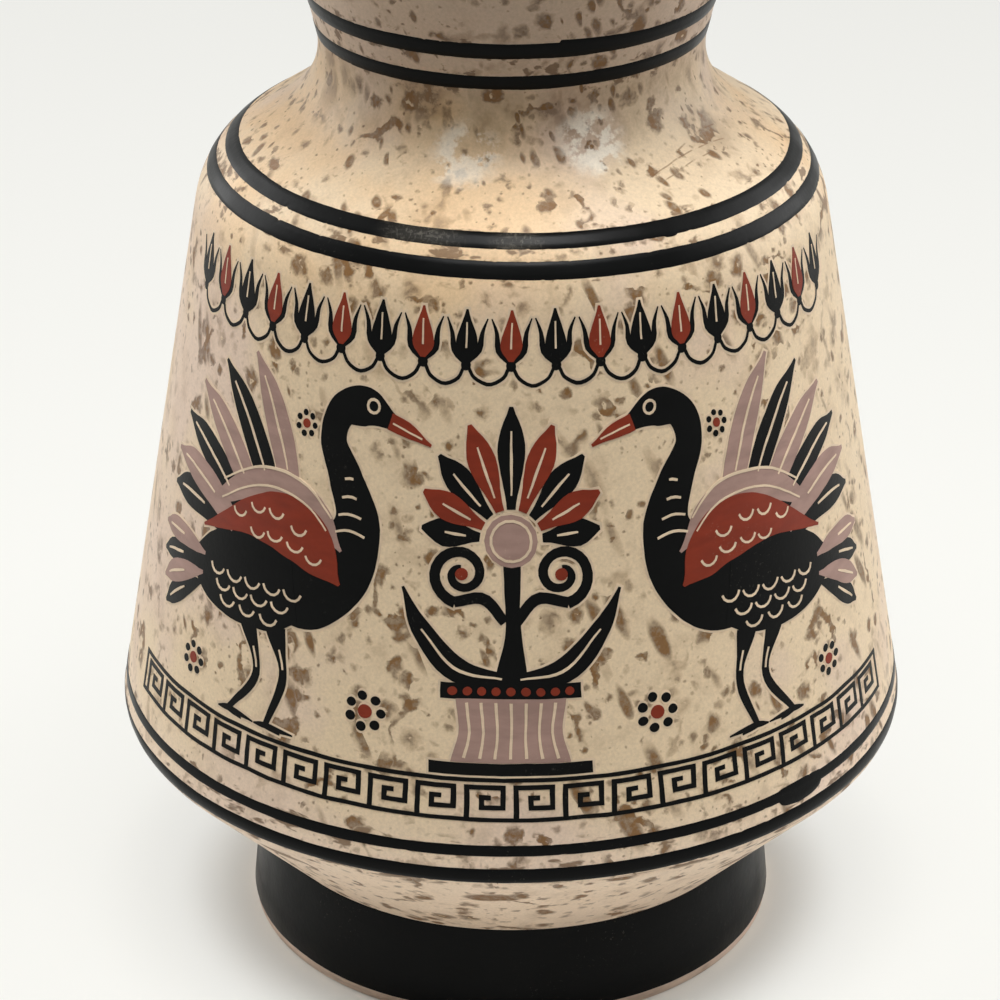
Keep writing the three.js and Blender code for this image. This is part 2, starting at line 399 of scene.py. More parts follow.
def speckled(s, place, clouds, clear):
    """Small spots and specks."""
    spot, _, _ = s.spots(s.warped(place, 1.9, 2.2, 3.0), 2.3, 1.25, 0.62, 0.45)
    speck, _, _ = s.spots(s.warped(place, 1.0, 0.7), 1.25, 0.5, 0.55, 0.4)
    small = s.math("MAXIMUM", s.math("MULTIPLY", spot, 0.95), s.math("MULTIPLY", speck, 0.8))
    small = s.math("MULTIPLY", small, clear)
    return s.math("MULTIPLY", small, s.smooth(clouds, 0.36, 0.6, 0.35, 1.0))


def curved_stains(s, warped, ragged):
    """Curved stains that are broken up."""
    bend = s.math("ABSOLUTE", s.math("SUBTRACT", s.noise(ragged, 13, 1.0, 0.4), 0.5))
    gaps = s.smooth(s.noise(warped, 6.5, 2.0), 0.5, 0.62)
    return s.math("MULTIPLY", s.smooth(bend, 0.045, 0.012), gaps)


def stain_by_bands(s, run, around):
    """Stain that lies along the pairs of bands."""
    banded = 0.0
    for low_edge, high_edge in BAND_PAIRS:
        onto = s.smooth(run, run_at(low_edge) - 2.2, run_at(low_edge) - 0.4)
        off = s.smooth(run, run_at(high_edge) + 2.2, run_at(high_edge) + 0.4)
        banded = s.math("MAXIMUM", banded, s.math("MULTIPLY", onto, off))
    beside = s.stretched(run, 0.9, s.vector("SCALE", around, scale=0.4))
    smudged = s.smooth(s.noise(s.warped(beside, 2.5, 1.2), 2.6, 3.0, 0.6), 0.55, 0.64, 0.0, 0.85)
    return s.math("MULTIPLY", smudged, banded)


def smears(s, place, ragged, stain):
    """The stain with the smears under the neck."""
    torn = s.warped(ragged, 6, 6.0, 3.0)
    blotted = s.smooth(s.noise(place, 2.2, 4.0, 0.7), 0.35, 0.6, 0.35, 1.0)
    for centre, reach, weight in SMEARS:
        smear = s.smooth(s.away(torn, Vector(centre) + SMEAR_SHIFT), reach + 1.5, reach * 0.3)
        smear = s.math("MULTIPLY", s.math("MULTIPLY", smear, blotted), weight)
        stain = s.math("MAXIMUM", stain, smear)
    return stain


def chalky_scuffs(s, place, ragged):
    scuff = 0.0
    for centre, reach, weight in SCUFFS:
        patch = s.smooth(s.away(ragged, Vector(centre) + SCUFF_SHIFT), reach + 1.2, reach * 0.6)
        scuff = s.math("MAXIMUM", scuff, s.math("MULTIPLY", patch, weight))
    return s.math("MULTIPLY", scuff, s.smooth(s.noise(place, 4.2, 4.0, 0.65), 0.42, 0.52))


def fine_scratches(s, place):
    from_above = s.vector("MULTIPLY", s.warped(place, 7, 0.7, 1.0), (1, 1, 0))
    scratch = 0.0
    for a, b in SCRATCHES:
        off = s.off_line(from_above, (*a, 0), (*b, 0))
        scratch = s.math("MAXIMUM", scratch, s.smooth(off, 0.17, 0.05))
    return s.math("MULTIPLY", scratch, s.smooth(s.noise(place, 2.5, 2.0), 0.36, 0.54))


def mottled_ground():
    s = Surface("mottled_ground")
    place = s.place()
    run = s.attribute("meridian")
    warped = s.warped(place, 4.5, 3.2, 3.0)
    ragged = s.warped(warped, 1.7, 2.4, 3.0)
    clouds = s.noise(place, 26, 3.0, 0.6)
    flat = s.vector("MULTIPLY", place, (1, 1, 0))
    around = s.vector("SCALE", s.vector("NORMALIZE", flat), scale=60)
    below = s.smooth(run, run_at(46), run_at(44))
    tint = ground_tint(s, run, warped, clouds)

    # Large stains, in crowds: soft blotches, some with a crater, curved stains and streaks. Fewer below.
    clear = s.math("SUBTRACT", 1.0, s.math("MULTIPLY", below, 0.2))
    blotch, distance, chance = s.spots(ragged, 4.6, 2.6, 0.78, 0.55)
    large = s.math("MAXIMUM", blotch, curved_stains(s, warped, ragged))
    large = s.math("MAXIMUM", s.math("MULTIPLY", large, clear), streaks(s, run, around, below))
    crowd = s.smooth(s.noise(place, 22, 2.0), 0.36, 0.58, 0.45, 1.5)
    crowd = s.math("MAXIMUM", crowd, s.math("MULTIPLY", below, 1.25))
    stain = s.math("MULTIPLY", large, crowd, clamp=True)

    # Small spots, an uneven strength, and a faint wash.
    stain = s.math("MAXIMUM", stain, speckled(s, place, clouds, clear))
    stain = s.math("MULTIPLY", stain, s.smooth(s.noise(place, 1.6, 3.0, 0.65), 0.3, 0.65, 0.65, 1.05))
    wash = s.math("MULTIPLY", s.smooth(s.noise(warped, 7, 3.0, 0.6), 0.5, 0.75), 0.24)
    stain = s.math("ADD", stain, wash, clamp=True)
    stain = s.math("MAXIMUM", stain, stain_by_bands(s, run, around))

    # Stain that gathered under the bands of the neck and ran down from there, and over the same zone a
    # faint brown wash that is painted shade under the mouth.
    hanging = s.warped(s.stretched(run, 0.5, flat), 3.5, 5.0, 3.0)
    runs = s.smooth(s.noise(hanging, 7.5, 3.0, 0.6), 0.46, 0.7)
    under_neck_stain_and_shade = s.smooth(run, run_at(161.5), run_at(170))
    under_neck_stain_and_shade = s.math("MULTIPLY", under_neck_stain_and_shade, s.smooth(run, run_at(178), run_at(172)))
    stain = s.math("MAXIMUM", stain, s.math("MULTIPLY", runs, s.math("MULTIPLY", under_neck_stain_and_shade, 0.6)))
    stain = smears(s, place, ragged, stain)
    # A faint brown wash over the root of the neck: painted shade under the mouth.
    tint = s.mix(s.math("MULTIPLY", under_neck_stain_and_shade, 0.12), tint, BROWN)

    # The stains dried darker along their rims.
    rim = s.math("MULTIPLY", s.smooth(stain, 0.35, 0.6), s.smooth(stain, 1.0, 0.75))
    tint = s.mix(s.math("MULTIPLY", stain, 0.96), tint, s.mix(rim, BROWN, DARK_BROWN))

    # Pale craters with a pinhole, in the middle of some blotches.
    cratered = s.smooth(chance, 0.87, 0.88)
    crater = s.math("MULTIPLY", s.smooth(distance, 0.62, 0.38), cratered)
    hole = s.math("MULTIPLY", s.smooth(distance, 0.24, 0.14), cratered)
    tint = s.mix(s.math("MULTIPLY", crater, 0.7), tint, CREAM)
    tint = s.mix(s.math("MULTIPLY", hole, 0.6), tint, BROWN)

    # Chalky scuffs under the neck, fine scratches on the shoulder, and fine grain.
    scuff = chalky_scuffs(s, place, ragged)
    scratch = fine_scratches(s, place)
    tint = s.mix(s.math("MULTIPLY", scuff, 0.82), tint, CHALK)
    tint = s.mix(s.math("MULTIPLY", scratch, 0.6), tint, BROWN)
    tint = s.vector("SCALE", tint, scale=s.smooth(s.noise(place, 0.55, 3.0, 0.7), 0.25, 0.75, 0.9, 1.06))

    # Bare clay where the coat ends, inside the mouth and under the foot.
    waver = s.math("MULTIPLY", s.math("SUBTRACT", s.noise(place, 5, 3.0), 0.5), 0.5)
    coated = s.smooth(s.math("ADD", s.attribute("coat"), waver), 0.46, 0.54)
    s.set(Base_Color=s.mix(coated, CLAY, tint))
    s.set(Specular_IOR_Level=0.35)
    rough = s.smooth(s.noise(place, 7, 3.0), 0.3, 0.7, 0.44, 0.56)
    rough = s.math("ADD", rough, s.math("MULTIPLY", scuff, 0.2))
    s.set(Roughness=s.add("Mix", {0: coated, 2: 0.85, 3: rough}, 0))

    # Relief: fine bumps, raised craters, sunk holes and scratches, and the marks of the turning.
    relief = s.math("MULTIPLY", s.noise(place, 1.4, 3.0, 0.6), 0.5)
    relief = s.math("ADD", relief, s.math("MULTIPLY", crater, 0.35))
    relief = s.math("SUBTRACT", relief, s.math("MULTIPLY", hole, 0.9))
    relief = s.math("SUBTRACT", relief, s.math("MULTIPLY", scratch, 0.3))
    turning = s.noise(s.vector("MULTIPLY", place, (0.05, 0.05, 1)), 1.4, 2.0)
    relief = s.math("ADD", relief, s.math("MULTIPLY", turning, 0.25))
    s.set(Normal=s.bump(relief, 0.06))
    return s.material


def painted(name, tone, rough, wear_tone, wear, shine=0.35, scrapes_and_sheen=()):
    """Brushed slip paint: slightly uneven in tone and gloss, rubbed through in small specks, and with grey
    scrapes in places, which are scratched wear and also a painted sheen."""
    s = Surface(name)
    place = s.place()
    strokes = s.noise(s.vector("MULTIPLY", place, (0.3, 0.3, 1.0)), 2.4, 3.0, 0.6)
    uneven = s.smooth(s.noise(place, 9, 3.0), 0.35, 0.7)
    rubbed = s.smooth(s.noise(place, 0.7, 3.0, 0.75), 0.6, 0.72)
    patches = s.smooth(s.noise(place, 22, 2.0), 0.5, 0.68)
    worn_and_sheen = s.math("MULTIPLY", rubbed, s.math("MULTIPLY", patches, wear))
    # Grey scrapes: scratched wear, and a painted sheen on the front of the shoulder band.
    for centre, reach, over in scrapes_and_sheen:
        leans = ((0.25, 1, 1.6), (1.6, 1, 0.35))
        fine = [s.noise(s.vector("MULTIPLY", place, lean), 0.9, 3.0, 0.7) for lean in leans]
        flaked = s.smooth(s.math("MAXIMUM", fine[0], fine[1]), 0.5, 0.68, 0.2, 0.75)
        near = s.smooth(s.away(place, centre), reach, reach * 0.3)
        height = s.add("SeparateXYZ", {0: place}, "Z")
        near = s.math("MULTIPLY", near, s.smooth(height, over, over + 0.5))
        worn_and_sheen = s.math("MAXIMUM", worn_and_sheen, s.math("MULTIPLY", flaked, near))
    tint = s.vector("SCALE", tone[:3], scale=s.smooth(strokes, 0.25, 0.75, 0.88, 1.15))
    s.set(Base_Color=s.mix(worn_and_sheen, tint, wear_tone))
    s.set(Specular_IOR_Level=shine)
    gloss = s.math("ADD", s.math("MULTIPLY", uneven, 0.1), s.math("MULTIPLY", strokes, 0.1))
    s.set(Roughness=s.math("ADD", gloss, rough - 0.1))
    relief = s.math("ADD", s.noise(place, 1.1, 3.0, 0.6), s.math("MULTIPLY", strokes, 0.6))
    s.set(Normal=s.bump(relief, 0.03))
    return s.material


def bare_clay():
    s = Surface("bare_clay")
    place = s.place()
    rings = s.noise(s.vector("MULTIPLY", place, (0.08, 0.08, 1)), 1.1, 3.0, 0.6)
    smudge = s.smooth(s.noise(s.vector("MULTIPLY", place, (0.4, 0.4, 1)), 4, 3.0), 0.48, 0.7)
    tint = s.mix(s.math("MULTIPLY", smudge, 0.4), CLAY, CLAY_STAIN)
    s.set(Base_Color=s.vector("SCALE", tint, scale=s.smooth(rings, 0.3, 0.7, 0.86, 1.1)))
    s.set(Roughness=0.82)
    relief = s.math("ADD", s.noise(place, 0.6, 3.0, 0.7), rings)
    s.set(Normal=s.bump(relief, 0.08))
    return s.material


ground = mottled_ground()
clay = bare_clay()
black = painted("black_paint", BLACK, 0.36, WORN_AND_SHEEN_GREY, 0.3, shine=0.08, scrapes_and_sheen=SCRAPES_AND_SHEEN)
red = painted("brick_red_paint", RED, 0.55, LINES, 0.35, shine=0.2)
mauve = painted("mauve_paint", MAUVE, 0.6, LINES, 0.4, shine=0.2)
pale = painted("incised_cream", LINES, 0.55, BROWN, 0.3)


def part_of(line, low, high):
    """The part of a line of points from one height up to another, with a point on each cut."""
    heights, radii = [p.y for p in line], [p.x for p in line]
    ends = [Vector((float(np.interp(h, heights, radii)), h)) for h in (low, high)]
    return [ends[0]] + [p for p in line if low + 0.05 < p.y < high - 0.05] + [ends[1]]


def wall_section(name, low, high, *nodes):
    """A ring of the wall, from one seam to the next, with the ground of the outside on it."""
    outer = part_of(outside, low, high)
    inner = part_of(hollow[1:], low, high)[::-1]
    runs = [run_at(p.y) for p in outer] + [run_at(p.y) for p in inner]
    coats = [1.0] * len(outer) + [0.0] * len(inner)
    revolved(name, outer + inner, ground, "mottled_ground", *nodes, runs=runs, coats=coats)


def bowl():
    outer = part_of(outside, FOOT_HEIGHT, CARINATION_SEAM)
    inner = [p for p in hollow if p.y < CARINATION_SEAM - 0.5]
    cut = part_of(hollow[1:], floor_top + 1, CARINATION_SEAM)[-1]
    inner = (inner + [cut])[::-1]
    under = [Vector((AXIS_RADIUS, FOOT_HEIGHT)), Vector((FOOT_TOP_RADIUS - FOOT_SEAT_WIDTH, FOOT_HEIGHT))]
    profile = under + outer + inner
    runs = [0, 0] + [run_at(p.y) for p in outer] + [run_at(p.y) for p in inner]
    coats = [0, 0] + [1.0] * len(outer) + [0.0] * len(inner)
    revolved("bowl_ground", profile, ground, "mottled_ground", "lower_bowl", runs=runs, coats=coats)


def neck():
    """The neck with its mouth and round lip. Its coat fades out inside the mouth."""
    outer = part_of(outside, NECK_SEAM, outside[-1].y)
    middle = Vector(LIP_MIDDLE)
    start = outer[-1] - middle
    lip = []
    for step in range(1, LIP_STEPS):
        turn = math.pi * step / LIP_STEPS
        cos, sin = math.cos(turn), math.sin(turn)
        lip.append(middle + Vector((start.x * cos - start.y * sin, start.x * sin + start.y * cos)))
    inner = resampled(part_of(hollow[1:], NECK_SEAM, hollow[-1].y)[::-1], HOLLOW_STEP / 2)
    depth = [hollow[-1].y - p.y for p in inner]
    coats = [1.0] * (len(outer) + len(lip)) + [max(0.0, 1 - d / INNER_COAT) for d in depth]
    top = run_at(outer[-1].y)
    runs = [run_at(p.y) for p in outer] + [top + 2 * k / len(lip) for k in range(len(lip))]
    runs += [top + 3 + d for d in depth]
    profile = outer + lip + inner
    revolved("neck_ground", profile, ground, "mottled_ground", "neck", "neck_slip", runs=runs, coats=coats)


def foot():
    """The clay ring of the foot, and its black coat with a wavering lower edge and a soft upper edge."""
    standing = FOOT_BASE_RADIUS - FOOT_EDGE_BEVEL
    inside = standing - FOOT_STANDING_WIDTH
    seat = FOOT_TOP_RADIUS - FOOT_SEAT_WIDTH
    lean = (FOOT_TOP_RADIUS - FOOT_BASE_RADIUS) / (FOOT_HEIGHT - FOOT_BARE_EDGE)
    core = FOOT_BASE_RADIUS - GROUND_INSET
    profile = [Vector(p) for p in (
        (inside, 0.5), (inside + 0.5, 0),
        (standing - 0.7, 0), (standing - 0.2, 0.12), (standing + 0.05, 0.45),
        (core, FOOT_BARE_EDGE), (core + lean * (FOOT_HEIGHT - FOOT_BARE_EDGE), FOOT_HEIGHT),
        (seat, FOOT_HEIGHT), (seat - 0.01, FOOT_HEIGHT - 0.5),
    )]
    revolved("foot_body", profile, clay, "bare_clay", "foot_ring", "foot_slip")

    points = []
    for k in range(BAND_SIDES):
        turn = 2 * math.pi * k / BAND_SIDES
        waver = 0.12 * noise.noise((3 * math.cos(turn), 3 * math.sin(turn), 4))
        waver += 0.05 * noise.noise((24 * math.cos(turn), 24 * math.sin(turn), 9))
        low = FOOT_BARE_EDGE - 0.12 + waver
        coat = [(low, -0.25), (low, 0.02), (low + 0.12, 0.075)]
        coat += [(low + (FOOT_HEIGHT - 0.5 - low) * t, 0.08) for t in (0.25, 0.5, 0.75, 1)]
        coat += [(FOOT_HEIGHT - 0.2, 0.05), (FOOT_HEIGHT - 0.03, 0.01), (FOOT_HEIGHT - 0.03, -0.4)]
        for height, lift in coat:
            points.append(turned(turn, core + lean * (height - FOOT_BARE_EDGE) + lift, height))
    faces = ring_faces(len(coat), BAND_SIDES)
    piece("foot_black", points, faces, black, "black_paint", "foot_paint", sharp=50)


bowl()
wall_section("belly_ground", CARINATION_SEAM, SHOULDER_SEAM, "belly_wall", "carination_slip")
wall_section("shoulder_ground", SHOULDER_SEAM, NECK_SEAM, "shoulder", "shoulder_slip")
neck()
foot()


def band(name, lean, seed, blobs=(), laps=()):
    """A brushed black band. lean is its rise towards +X. Each blob is an azimuth in degrees, how far it
    reaches, and how much the lower and the upper edge move there. Each lap says the same of a step that
    runs out towards +X."""
    points = []
    low_run, high_run = [run_at(height) for height in BANDS[name]]
    for k in range(BAND_SIDES):
        turn = 2 * math.pi * k / BAND_SIDES
        ring = Vector((math.cos(turn), math.sin(turn), seed))
        shared = 0.16 * noise.noise(ring * 1.3) + lean * np.interp(low_run, RUNS, RADII) * math.sin(turn)
        edges = []
        for side, run in ((0, low_run), (1, high_run)):
            place = Vector((ring.x, ring.y, seed + 5 + side))
            move = shared + 0.12 * noise.noise(place * 4) + 0.05 * noise.noise(place * 30)
            bite = noise.noise(place * 46)
            move += (1 if side == 0 else -1) * 0.5 * max(0, bite - 0.42)
            for azimuth, reach, *moves in blobs:
                away = (math.degrees(turn) - azimuth + 180) % 360 - 180
                move += moves[side] * max(0.0, 1 - (away / reach) ** 2) ** 0.5
            for azimuth, reach, *moves in laps:
                move += moves[side] * max(0.0, 1 - (math.degrees(turn) - azimuth) % 360 / reach)
            edges.append(run + move)
        a, b = edges
        crown = BAND_LIFT + 0.01
        section = [(a, SUNK), (a, 0.01), (a + 0.1, BAND_LIFT), (a * 0.66 + b * 0.34, crown),
                   (a * 0.34 + b * 0.66, crown), (b - 0.1, BAND_LIFT), (b, 0.01), (b, SUNK)]
        points += [on_wall(turn, run, lift) for run, lift in section]
    faces = ring_faces(len(section), BAND_SIDES)
    piece(name + "_paint", points, faces, black, "black_paint", name, sharp=50)


band("lower_band_wide", lean=0.007, seed=1)
band("lower_band_narrow", lean=0.007, seed=2, blobs=[(45, 4.5, -1.6, 0.4)])
band("shoulder_band_wide", lean=-0.012, seed=3)
band("shoulder_band_narrow", lean=-0.012, seed=4, blobs=[(31, 1.5, -0.35, 0.0)])
band("neck_band_narrow", lean=0.01, seed=5)
band("neck_band_wide", lean=0.005, seed=6, laps=[(13, 26, 0.0, 0.5)])


class Film:
    """One mesh of thin closed solids, laid on the belly. Places on it are (across, height), and across is
    measured round a cylinder of ACROSS_RADIUS."""

    ACROSS_RADIUS = 64.5

    def __init__(self, layer):
        self.layer, self.points, self.faces, self.laid = layer, [], [], 0

    def put(self, across, height, lift):
        """Add a point, moved a little as an unsteady hand moves a line."""
        place = Vector((across / 7, height / 7, 3))
        across += 0.22 * noise.noise(place) + 0.07 * noise.noise(place * 4)
        height += 0.22 * noise.noise(place + Vector((0, 0, 20)))
        height += 0.07 * noise.noise(place * 4 + Vector((0, 0, 9)))
        self.points.append(on_wall(across / self.ACROSS_RADIUS, run_at(height), lift))
        return len(self.points) - 1

    def ribbon(self, line, widths, grow=0.0, across=None):
        """A strip along a line of points, with a width at each."""
        lift = LIFTS[self.layer] + LEVEL_STEP * (self.laid % LEVELS)
        self.laid += 1
        cells = across or max(1, math.ceil(max(widths) / 2.5))
        count = len(line)
        tops, bottoms = [], []
        for i, point in enumerate(line):
            before, after = line[max(0, i - 1)], line[min(count - 1, i + 1)]
            first, second = (point - before), (after - point)
            first = (second if first.length < 1e-6 else first).normalized()
            second = (first if second.length < 1e-6 else second).normalized()
            along = (first + second).normalized()
            side = Vector((-along.y, along.x))
            half = (widths[i] / 2 + grow) / max(0.5, along.dot(first))
            if grow and i in (0, count - 1):
                point = point + along * (grow if i else -grow)
            row = [point + side * half * (1 - 2 * j / cells) for j in range(cells + 1)]
            tops.append([self.put(p.x, p.y, lift) for p in row])
            bottoms.append([self.put(row[j].x, row[j].y, SUNK) for j in (0, -1)])
        for i in range(count - 1):
            here, there, low, next_low = tops[i], tops[i + 1], bottoms[i], bottoms[i + 1]
            self.faces += [(here[j], here[j + 1], there[j + 1], there[j]) for j in range(cells)]
            self.faces.append((low[0], next_low[0], next_low[1], low[1]))
            self.faces.append((here[0], there[0], next_low[0], low[0]))
            self.faces.append((here[-1], low[1], next_low[1], there[-1]))
        self.faces.append((*tops[0][::-1], bottoms[0][0], bottoms[0][1]))
        self.faces.append((*tops[-1], bottoms[-1][1], bottoms[-1][0]))


films = {layer: Film(layer) for layer in LIFTS}
HALO = 0.4
LEAST_WIDTH = 0.12


def between(before, a, b, after, f):
    """Place or width at f, from 0 to 1, on the smooth way from a to b."""
    bend = before * 2 - a * 5 + b * 4 - after
    twist = a * 3 - before - b * 3 + after
    return (a * 2 + (b - before) * f + bend * f * f + twist * f ** 3) / 2


def curve(points, step):
    """Smooth line through the points, and how far along them each of its own points lies, from 0 to 1."""
    points = [Vector(p) for p in points]
    length = sum((b - a).length for a, b in zip(points, points[1:]))
    count = max(4, math.ceil(length / step))
    ends = [points[0] * 2 - points[1]] + points + [points[-1] * 2 - points[-2]]
    line, stations = [], []
    for i in range(count + 1):
        at = i / count * (len(points) - 1)
        k = min(int(at), len(points) - 2)
        line.append(between(*ends[k:k + 4], at - k))
        stations.append(at / (len(points) - 1))
    return line, stations


def eased(widths, t):
    """Width at t, from 0 to 1, along widths that follow each other evenly, without corners between them."""
    at = t * (len(widths) - 1)
    k = min(int(at), len(widths) - 2)
    before, after = widths[max(0, k - 1)], widths[min(len(widths) - 1, k + 2)]
    return max(LEAST_WIDTH, between(before, widths[k], widths[k + 1], after, at - k))


def stroke(layer, points, widths, step=1.3, halo=True, part=(0, 1)):
    """A brush stroke along a part of the curve through the points. Its widths are spread evenly along it.
    halo adds a pale rim round it, on the layer underneath."""
    line, stations = curve(points, step)
    if part != (0, 1):
        kept = [k for k, t in enumerate(stations) if part[0] <= t <= part[1]]
        line = [line[k] for k in kept]
        stations = [(stations[k] - part[0]) / (part[1] - part[0]) for k in kept]
    spread = [eased(widths, t) for t in stations]
    films[layer].ribbon(line, spread)
    if halo and layer != "lines":
        films["underprint"].ribbon(line, spread, grow=HALO)


def angular(layer, points, width):
    """A line with sharp corners."""
    line = resampled([Vector(p) for p in points], 1.6)
    films[layer].ribbon(line, [width] * len(line), across=1)


def disc(layer, across, height, radius, halo=True):
    turns = [math.pi * k / 8 for k in range(9)]
    line = [Vector((across - radius * math.cos(t), height)) for t in turns]
    widths = [max(LEAST_WIDTH, 2 * radius * math.sin(t)) for t in turns]
    films[layer].ribbon(line, widths, across=2)
    if halo:
        films["underprint"].ribbon(line, [w + 2 * HALO for w in widths], across=2)


def ring(layer, across, height, radius, width, start=0, end=360):
    count = max(6, int(abs(end - start) / 360 * max(12, radius * 5)))
    turns = [math.radians(start + (end - start) * k / count) for k in range(count + 1)]
    line = [Vector((across + radius * math.cos(t), height + radius * math.sin(t))) for t in turns]
    films[layer].ribbon(line, [width] * len(line), across=1)


def spiral(layer, across, height, outer, inner, start, turns, widths):
    """A volute from its outer end to its eye."""
    count = int(24 * abs(turns))
    line = []
    for k in range(count + 1):
        t = k / count
        radius, turn = outer + (inner - outer) * t, math.radians(start) + 2 * math.pi * turns * t
        line.append(Vector((across + radius * math.cos(turn), height + radius * math.sin(turn))))
    spread = [float(np.interp(k / count, np.linspace(0, 1, len(widths)), widths)) for k in range(count + 1)]
    films[layer].ribbon(line, spread, across=1)
    films["underprint"].ribbon(line, spread, grow=HALO, across=1)


# The picture: its lower and upper edge, half its width round the belly, and the line that its figures
# stand on. A bird is drawn by distances from its axis towards the plant, times BIRD_LENGTH, and by heights
# over that line.
PICTURE_LOW, PICTURE_HIGH, PICTURE_HALF = 56.5, 144.5, 79.0
STANDING_LINE = 64.5
BIRD_AXIS, BIRD_LENGTH = 44, 0.93


def key_border():
    """A running key between two lines, under the picture."""
    top, rule, brush = STANDING_LINE - 0.9, 0.75, 0.85
    for height in (PICTURE_LOW, top):
        line = [Vector((-PICTURE_HALF + k * 2, height)) for k in range(int(PICTURE_HALF) + 1)]
        films["black"].ribbon(line, [rule] * len(line), across=1)
    low, high = PICTURE_LOW + 1.3, STANDING_LINE - 2.2
    for side in (-1, 1):
        end = side * (PICTURE_HALF - 0.4)
        angular("black", [(end, PICTURE_LOW), (end, top)], rule)
    unit, count = 7.75, 20
    for k in range(count):
        left = -PICTURE_HALF + 2.3 + k * unit
        path = [(0, PICTURE_LOW), (0, high), (5.7, high), (5.7, low + 0.9), (2.3, low + 0.9),
                (2.3, low + 2.7), (3.8, low + 2.7)]
        angular("black", [(left + x, z) for x, z in path], brush)


def bud_chain():
    """Standing buds linked by arcs, over the picture."""
    pitch, count = 8.3, 19
    base = PICTURE_HIGH - 9.5
    for k in range(count):
        across = (k - (count - 1) / 2) * pitch
        bud = [(across, base + 0.9), (across, base + 4.6), (across, base + 9.5)]
        stroke("red" if k % 2 else "black", bud, [0.9, 3.0, 4.1, 3.9, 2.9, 1.6, 0.4], 0.8)
        for side in (-1, 1):
            sepal = [(0, 0.7), (side * 2.3, 2.7), (side * 2.8, 5.6), (side * 3.8, 8.0)]
            stroke("black", [(across + x, base + z) for x, z in sepal], [1.2, 1.2, 0.75, 0.25], 1.0)
        stroke("lines", [(across, base + 3.0), (across, base + 7.4)], [0.35, 0.3], halo=False)
        disc("black", across, base + 0.2, 0.95)
        if k < count - 1:
            hung = [(0.5, -0.2), (1.6, -2.0), (pitch / 2, -3.1), (pitch - 1.6, -2.0), (pitch - 0.5, -0.2)]
            stroke("black", [(across + x, base + z) for x, z in hung], [0.65, 0.65], 0.8)


def plant():
    """A palmette on a fluted stand, in the middle."""
    base = STANDING_LINE
    heart = base + 41

    # The stand, with its flutes and studs.
    stroke("black", [(-13, base + 1.0), (13, base + 1.0)], [2.2, 2.2])
    stroke("mauve", [(0, base + 2.2), (0, base + 13.5)], [19, 16.5, 18])
    stroke("black", [(-11.5, base + 14.8), (11.5, base + 14.8)], [2.8, 2.8])
    for k in range(-3, 4):
        flute = [(k * 2.5, base + 3.0), (k * 2.2, base + 7.5), (k * 2.4, base + 12.8)]
        stroke("lines", flute, [0.5, 0.4, 0.5], halo=False)
    for k in range(-4, 5):
        disc("red", k * 2.4, base + 14.8, 0.75, halo=False)

    # The stem, with a leaf and a volute on each side.
    stroke("black", [(0, base + 16), (0.4, base + 26), (0, base + 40)], [5.5, 2.6, 3.2])
    for side in (-1, 1):
        leaf = [(1.5, 17), (9, 18.5), (15, 25), (18.5, 32)]
        leaf = [(side * x, base + z) for x, z in leaf]
        stroke("black", leaf, [2.0, 4.4, 3.4, 0.5])
        stroke("lines", leaf[:3], [0.3, 0.5, 0.3], halo=False)
        branch = [(side * 1, base + 27), (side * 4.5, base + 31), (side * 9.6, base + 30.2)]
        stroke("black", branch, [1.8, 2.0, 1.8])
        start = -80 if side > 0 else 260
        spiral("black", side * 8.5, base + 35.2, 5.2, 1.0, start, side * 1.45, [1.9, 1.6, 1.2])
        disc("red", side * 8.5, base + 35.2, 1.1)

    # The palmette, with a vein in each leaf.
    for k in range(-4, 5):
        turn = math.radians(k * 21)
        root, tip = 5.4, 22.8 - 1.8 * abs(k)
        leaf = [(math.sin(turn) * d, heart + math.cos(turn) * d) for d in (root, (root + tip) / 2, tip)]
        stroke("red" if k % 2 else "black", leaf, [1.5, 2.6, 4.2, 5.0, 3.6, 0.7], 1.3)
        vein = [(math.sin(turn) * d, heart + math.cos(turn) * d) for d in (root + 2.5, tip - 4)]
        stroke("lines", vein, [0.3, 0.5, 0.3], halo=False)
    disc("mauve", 0, heart, 4.6)
    ring("lines", 0, heart, 3.5, 0.45)
    disc("black", 0, heart, 1.4, halo=False)


def on_bird(side, along, up):
    """Place in the picture of a place in the birds' drawing. side is -1 on the left and 1 on the right."""
    return (side * (BIRD_AXIS - BIRD_LENGTH * along), STANDING_LINE + up)


def scallops(side, path, count, size, reach=0.0):
    """A row of incised arcs that hang from a path."""
    line, _ = curve(path, 0.5)
    for k in range(count):
        at = line[int((k + 0.5) / count * (len(line) - 1))]
        ring("lines", *on_bird(side, at.x, at.y + reach), size, 0.42, 195, 345)


